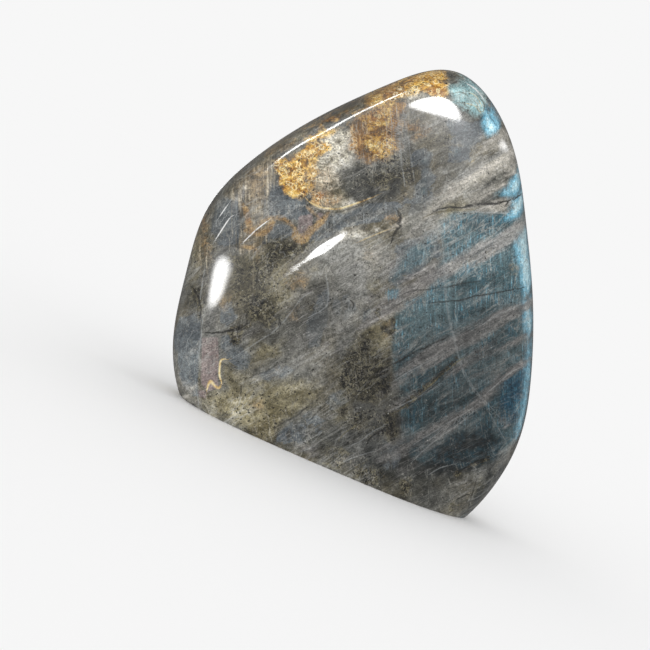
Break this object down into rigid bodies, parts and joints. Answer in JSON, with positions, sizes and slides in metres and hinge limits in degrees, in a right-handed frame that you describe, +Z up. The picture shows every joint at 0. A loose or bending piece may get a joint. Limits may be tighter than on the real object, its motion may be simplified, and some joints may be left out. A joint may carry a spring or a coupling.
{
  "type": "polished labradorite freeform",
  "caption": "Polished freeform stone with a domed glossy front and rounded sides, standing upright on a flat cut base as an ornament.",
  "frame": {"origin": "on the plane the stone stands on, under the middle of its overall box", "axes": "+Z up from the cut base to the rounded tip, the domed front faces -Y, +X to the right seen from the front"},
  "size_m": [0.1024, 0.0356, 0.1091],
  "materials": {
    "polished_stone": "mirror polish over grey feldspar with blue schiller, ochre staining, pale veils and dark flecks"
  },
  "bodies": {
    "root": {"stone": "polished_stone"}
  },
  "joints": []
}
